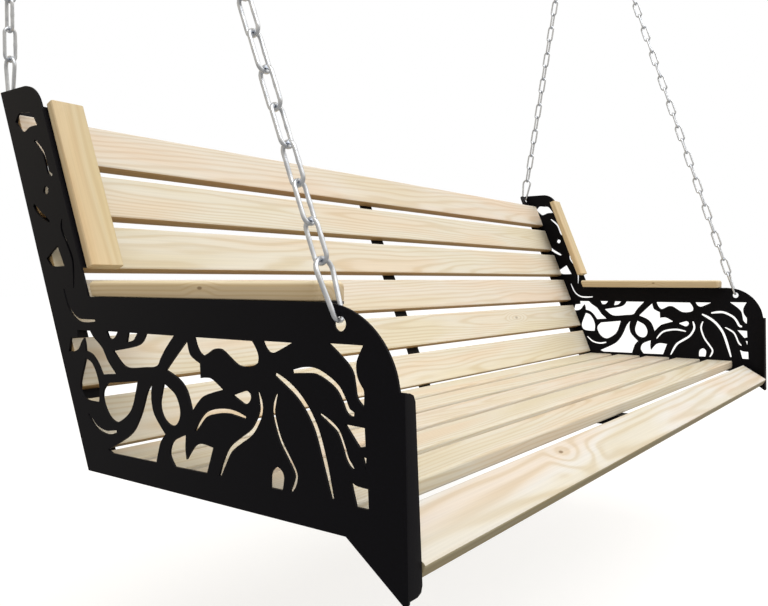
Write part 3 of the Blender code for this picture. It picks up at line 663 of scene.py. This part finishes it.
# Where the tree's heart runs beside each slat, in millimetres across and through it, its slant in degrees,
# and the step from one slat's stretch of grain to the next one's
PITH_ASIDES = (16, -24, 32, 19, -19, 26, -30, 20, -14, 35, 22)
PITH_DROPS = (34, -52, 41, 60, -38, 47, 55, -44, 36, 58, -49)
PITH_LEANS = (0.8, -1.1, 0.5, 1.3, -0.7, 0.9, -1.2, 0.6, 1.0, -0.8, 0.4)
GRAIN_STEP = 1.7

# The same for the other boards: stretch of grain and the heart's place in metres, and its slant in radians
APRON_PITH = (23, 0.006, 0.031)
APRON_LEAN = (0.02, 0.014)
ARMREST_PITH = (31, 0.012, -0.038)
ARMREST_LEAN = (0.01, 0.02)
UPRIGHT_PITH = (37, 0.008, 0.044)
UPRIGHT_LEAN = (0.01, 0.01)

# Knots: place in the board's own axes, radius and darkness. One on the apron only turns the grain.
SLAT_KNOTS = {"back_slat_2": (((0.4516, 0.0086, 0.0105), 4 * MM, 0.5),)}
APRON_KNOTS = (((-0.4305, 0.0177, 0.0105), 3 * MM, 0.85), ((-0.405, -0.002, 0.0105), 5 * MM, 0))
ARMREST_KNOTS = (((-0.0229, -0.025, -0.0021), 2.2 * MM, 0.8),)


def dress_boards():
    """Every board from its own plank: its own pith, and knots where the boards have them."""
    # The last entry of each slat is the painted shade tint of its narrow faces and ends
    slats = [(f"back_slat_{i + 1}", UP_BACK, BACK_NARROW_SHADE) for i in range(BACK_SLATS)]
    slats += [(f"seat_slat_{i + 1}", BACKWARD, SEAT_NARROW_SHADE) for i in range(SEAT_SLATS)]
    planks = []
    for i, (node, across, edge) in enumerate(slats):
        pith = (i * GRAIN_STEP, PITH_ASIDES[i] * MM, PITH_DROPS[i] * MM)
        lean = (math.radians(PITH_LEANS[i]), math.radians(PITH_LEANS[-i]))
        tones = (SLAT_TONES, SLAT_TONES, PINK_TONES)[i % 3]
        planks.append((node, RIGHT, across, pith, lean, SLAT_RINGS, tones, edge, SLAT_KNOTS.get(node, ())))
    planks.append(("front_apron", RIGHT, -DOWN_APRON, APRON_PITH, APRON_LEAN, APRON_RINGS, APRON_TONES,
                   APRON_NARROW_SHADE, APRON_KNOTS))
    for label in ("left", "right"):
        planks.append((f"{label}_armrest", BACKWARD, RIGHT, ARMREST_PITH, ARMREST_LEAN, ARMREST_RINGS,
                       ARMREST_TONES, ARMREST_NARROW_SHADE, ARMREST_KNOTS))
        planks.append((f"{label}_upright_board", UP_BACK, RIGHT, UPRIGHT_PITH, UPRIGHT_LEAN, UPRIGHT_RINGS,
                       UPRIGHT_TONES, UPRIGHT_NARROW_SHADE))
    for node, along, across, *growth in planks:
        low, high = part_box(node)
        axes = (along, across, along.cross(across))
        finish = pine(f"planed_pine_{node}", axes, (low + high) / 2, *growth)
        if node.endswith("armrest"):
            round_armrest(node, finish)
        else:
            dress_node(node, finish, BOARD_EDGE)


black_coat = powder_coat("satin_black_powder_coat")
zinc_wire = zinc_plate("bright_zinc_plate")
dress_boards()
dress_node("middle_strap", black_coat, SHEET_EDGE)
for label, side in (("left", -1), ("right", 1)):
    smooth_panel(label, side, black_coat)
    hang_chain(f"{label}_front", side, FRONT_LINKS, FRONT_HOLE, RING_LINK_SPACING / 2, zinc_wire)
    hang_chain(f"{label}_rear", side, REAR_LINKS, REAR_HOLE_EDGE, -RING_LINK_SPACING / 2, zinc_wire)
    hang_ring(label, side, zinc_wire)
screw_boards(black_coat)

# Studio: a pale floor under the hanging bench, a white surround, a broad soft light from above the front and
# a weaker one from the right. Floor and surround light the bench less than they show, so that faces turned
# down lie in shade.
FLOOR_BELOW_SEAT = 0.46
FLOOR_REACH = 30
FLOOR_GREY = "#a0a0a0"
FLOOR_GLOW = 0.70
SURROUND_LIGHT = "#d8d0c2"
LIGHT_ANGLE = math.radians(45)
SKYLIGHT_POWER = 1.75
SKYLIGHT_FROM = Vector((-0.2, -0.45, 0.87))
FILL_POWER = 0.55
FILL_FROM = Vector((0.50, -0.60, 0.62))


def lay_floor():
    """Matt floor that looks nearly white and throws less light back."""
    bm = bmesh.new()
    bmesh.ops.create_grid(bm, x_segments=1, y_segments=1, size=FLOOR_REACH)
    mesh = bpy.data.meshes.new("studio_floor")
    bm.to_mesh(mesh)
    bm.free()
    material, tree, shader = new_material("pale_studio_floor")
    shader.inputs["Base Color"].default_value = srgb(FLOOR_GREY)
    shader.inputs["Roughness"].default_value = 0.9
    shader.inputs["Specular IOR Level"].default_value = 0.0
    shader.inputs["Emission Color"].default_value = srgb(WHITE)
    seen = add_node(tree, "ShaderNodeLightPath")
    shown = add_node(tree, "ShaderNodeMapRange", [("Value", seen.outputs["Is Camera Ray"])], None,
                     [("To Max", FLOOR_GLOW)])
    tree.links.new(shown.outputs[0], shader.inputs["Emission Strength"])
    mesh.materials.append(material)
    floor = bpy.data.objects.new("studio_floor", mesh)
    floor.location = (0, 0, SEAT_FRONT.z - FLOOR_BELOW_SEAT)
    bpy.context.scene.collection.objects.link(floor)


def light_studio():
    """White surround that lights less than it shows, and two broad lights."""
    world = bpy.data.worlds.new("white_studio")
    bpy.context.scene.world = world
    world.use_nodes = True
    tree = world.node_tree
    seen = add_node(tree, "ShaderNodeLightPath")
    shown = add_node(tree, "ShaderNodeValToRGB", [(0, seen.outputs["Is Camera Ray"])])
    ramp_stops(shown, [(0, SURROUND_LIGHT), (1, WHITE)])
    tree.links.new(shown.outputs[0], tree.nodes["Background"].inputs["Color"])
    lights = (("broad_skylight", SKYLIGHT_POWER, SKYLIGHT_FROM), ("side_fill", FILL_POWER, FILL_FROM))
    for name, power, source in lights:
        light = bpy.data.lights.new(name, "SUN")
        light.energy = power
        light.angle = LIGHT_ANGLE
        lamp = bpy.data.objects.new(name, light)
        lamp.rotation_euler = source.to_track_quat("Z", "Y").to_euler()
        bpy.context.scene.collection.objects.link(lamp)


# Camera worked out from the photograph's straight edges
CAMERA_FROM_SEAT = Vector((-1.4529, -0.4746, 0.2543))
CAMERA_PITCH = math.radians(90 - 1.733)
CAMERA_HEADING = math.radians(36.484 - 90)
CAMERA_SENSOR = 36
CAMERA_LENS = 35.70
CAMERA_NEAREST = 0.01


def set_camera():
    """Camera at the photograph's viewing angle."""
    data = bpy.data.cameras.new("photo_camera")
    data.sensor_width = CAMERA_SENSOR
    data.lens = CAMERA_LENS
    data.clip_start = CAMERA_NEAREST
    camera = bpy.data.objects.new("photo_camera", data)
    camera.location = SEAT_FRONT + CAMERA_FROM_SEAT
    camera.rotation_euler = (CAMERA_PITCH, 0, CAMERA_HEADING)
    bpy.context.scene.collection.objects.link(camera)
    bpy.context.scene.camera = camera
    bpy.context.scene.view_settings.view_transform = "Standard"


lay_floor()
light_studio()
set_camera()
